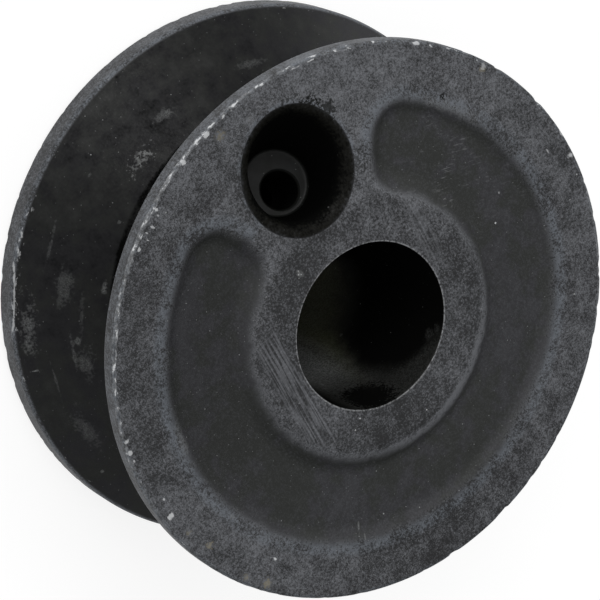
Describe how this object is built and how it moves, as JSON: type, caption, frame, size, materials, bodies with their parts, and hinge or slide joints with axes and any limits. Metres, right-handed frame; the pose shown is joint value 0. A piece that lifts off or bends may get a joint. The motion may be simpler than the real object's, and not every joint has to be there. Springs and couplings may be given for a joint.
{
  "type": "wire rope sheave",
  "caption": "Cast-iron wire rope sheave with a plain bore, a groove between two flanges, and a slanted pocket in its front face for a grease nipple.",
  "frame": {"origin": "centre of the rear hub face, which the sheave stands on", "axes": "+Z along the bore from the rear face to the front one, +X from the bore towards the grease pocket, +Y makes the frame right-handed"},
  "size_m": [0.1, 0.1, 0.045],
  "materials": {
    "painted_casting": "satin black paint, with grey mottled raised faces and bright worn edges"
  },
  "bodies": {
    "root": {"sheave": "painted_casting"}
  },
  "joints": []
}
